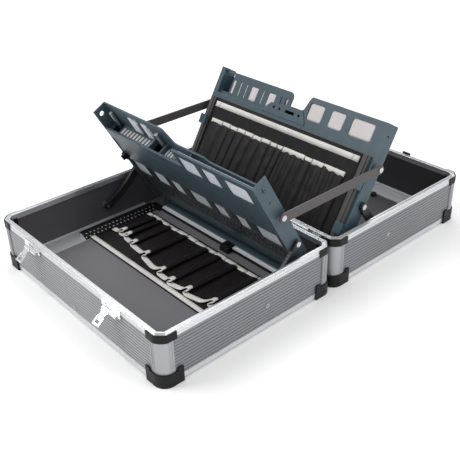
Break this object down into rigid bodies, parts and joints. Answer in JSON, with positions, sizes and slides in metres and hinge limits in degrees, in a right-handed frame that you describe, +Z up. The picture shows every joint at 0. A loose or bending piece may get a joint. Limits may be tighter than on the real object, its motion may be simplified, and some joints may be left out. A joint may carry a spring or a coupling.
{
  "type": "tool case",
  "caption": "Aluminium-framed tool case opened flat, with moulded tool pallets that stand in a V on folding arms, a pocket board, latches and a carrying handle.",
  "frame": {"origin": "On the ground, under the middle of the case as it lies open, midway along the hinge and midway between the latch levers and the handle.", "axes": "X along the case hinge, Y from the latch side to the back across the hinge, Z up."},
  "size_m": [0.4856, 0.799, 0.2644],
  "materials": {
    "panel": "fine horizontal ribs, grey",
    "frame": "bright anodised",
    "post": "satin anodised",
    "cap": "black moulded",
    "floor": "grey board",
    "lining": "dark grey lining board",
    "profile": "satin anodised strip",
    "steel": "plated",
    "chrome": "polished",
    "black_metal": "black paint",
    "rubber": "black",
    "tray": "blue-grey moulded, fine grain",
    "felt": "pale grey felt",
    "pale_felt": "pale felt",
    "board": "black leatherette board",
    "sleeve": "black elastic webbing",
    "trim": "ivory binding",
    "arm": "black moulded",
    "bar": "dark grey paint"
  },
  "bodies": {
    "front_shell": {"front_floor_panel": "floor", "front_long_walls": "panel", "front_side_walls": "panel", "front_base_frame": "frame", "front_rim_frame": "frame", "front_corner_posts": "post", "front_corner_caps": "cap", "front_liner": "lining", "front_floor_strips": "profile", "front_pivots": "steel", "front_hinge_leaves": "steel", "hinge_pins": "steel", "rail_cores": "profile", "pallet_foot_rail": "tray", "latch_bases": "chrome", "tool_board": "board", "tool_board_sleeves": "sleeve", "tool_board_trims": "trim", "perforated_rails": "cap", "floor_bar": "profile", "floor_bar_base": "cap"},
    "rear_shell": {"rear_floor_panel": "floor", "rear_long_walls": "panel", "rear_side_walls": "panel", "rear_base_frame": "frame", "rear_rim_frame": "frame", "rear_corner_posts": "post", "rear_corner_caps": "cap", "rear_liner": "lining", "rear_floor_strips": "profile", "rear_pivots": "steel", "rear_hinge_leaves": "steel", "latch_catches": "black_metal", "handle_brackets": "cap", "floor_bumpers": "rubber"},
    "front_pallet": {"front_pallet_tray": "tray", "front_pallet_face": "tray", "front_pallet_felts": "felt", "front_pallet_mesh": "cap", "front_pallet_knobs": "cap", "front_pallet_rods": "steel"},
    "rear_pallet": {"rear_pallet_tray": "tray", "rear_pallet_back": "tray", "rear_pallet_felts": "pale_felt", "pocket_board": "board", "pocket_sleeves": "sleeve", "pocket_trims": "trim", "pocket_board_rails": "cap", "pocket_board_clips": "tray", "tie_bar_pivots": "steel"},
    "front_arms": {"front_arms": "arm", "front_arm_studs": "steel"},
    "rear_arms": {"rear_arms": "arm", "rear_arm_studs": "steel"},
    "tie_bars": {"tie_bars": "bar", "tie_bar_studs": "steel"},
    "left_latch": {"left_latch_lever": "chrome"},
    "right_latch": {"right_latch_lever": "chrome"},
    "handle": {"handle_grip": "cap"}
  },
  "joints": [
    {"name": "case_hinge", "type": "hinge", "parent": "front_shell", "child": "rear_shell", "pos_m": [0, 0, 0.098], "axis": [1, 0, 0], "range_deg": [0, 180]},
    {"name": "front_pallet_fold", "type": "hinge", "parent": "front_shell", "child": "front_pallet", "pos_m": [0, -0.03447, 0.04552], "axis": [1, 0, 0], "range_deg": [0, 61]},
    {"name": "rear_pallet_fold", "type": "hinge", "parent": "rear_shell", "child": "rear_pallet", "pos_m": [0, 0.03582, 0.02822], "axis": [1, 0, 0], "range_deg": [-59, 0]},
    {"name": "front_arm_swing", "type": "hinge", "parent": "front_shell", "child": "front_arms", "pos_m": [0, -0.156, 0.046], "axis": [1, 0, 0], "range_deg": [-39.7, 0]},
    {"name": "rear_arm_swing", "type": "hinge", "parent": "rear_shell", "child": "rear_arms", "pos_m": [0, 0.153, 0.05], "axis": [1, 0, 0], "range_deg": [0, 53]},
    {"name": "tie_bar_swing", "type": "hinge", "parent": "rear_pallet", "child": "tie_bars", "pos_m": [0, 0.1293, 0.185], "axis": [1, 0, 0], "range_deg": [0, 22]},
    {"name": "left_latch_swing", "type": "hinge", "parent": "front_shell", "child": "left_latch", "pos_m": [0, -0.3754, 0.083], "axis": [-1, 0, 0], "range_deg": [0, 128]},
    {"name": "right_latch_swing", "type": "hinge", "parent": "front_shell", "child": "right_latch", "pos_m": [0, -0.3754, 0.083], "axis": [-1, 0, 0], "range_deg": [0, 128]},
    {"name": "handle_swing", "type": "hinge", "parent": "rear_shell", "child": "handle", "pos_m": [0, 0.39154, 0.066], "axis": [1, 0, 0], "range_deg": [0, 90]}
  ],
  "couplings": [
    {"joint": "front_pallet_fold", "follows": "case_hinge", "ratio": 0.33889},
    {"joint": "rear_pallet_fold", "follows": "case_hinge", "ratio": -0.32778},
    {"joint": "front_arm_swing", "follows": "case_hinge", "ratio": -0.22056},
    {"joint": "rear_arm_swing", "follows": "case_hinge", "ratio": 0.29444},
    {"joint": "tie_bar_swing", "follows": "case_hinge", "ratio": 0.12222}
  ]
}
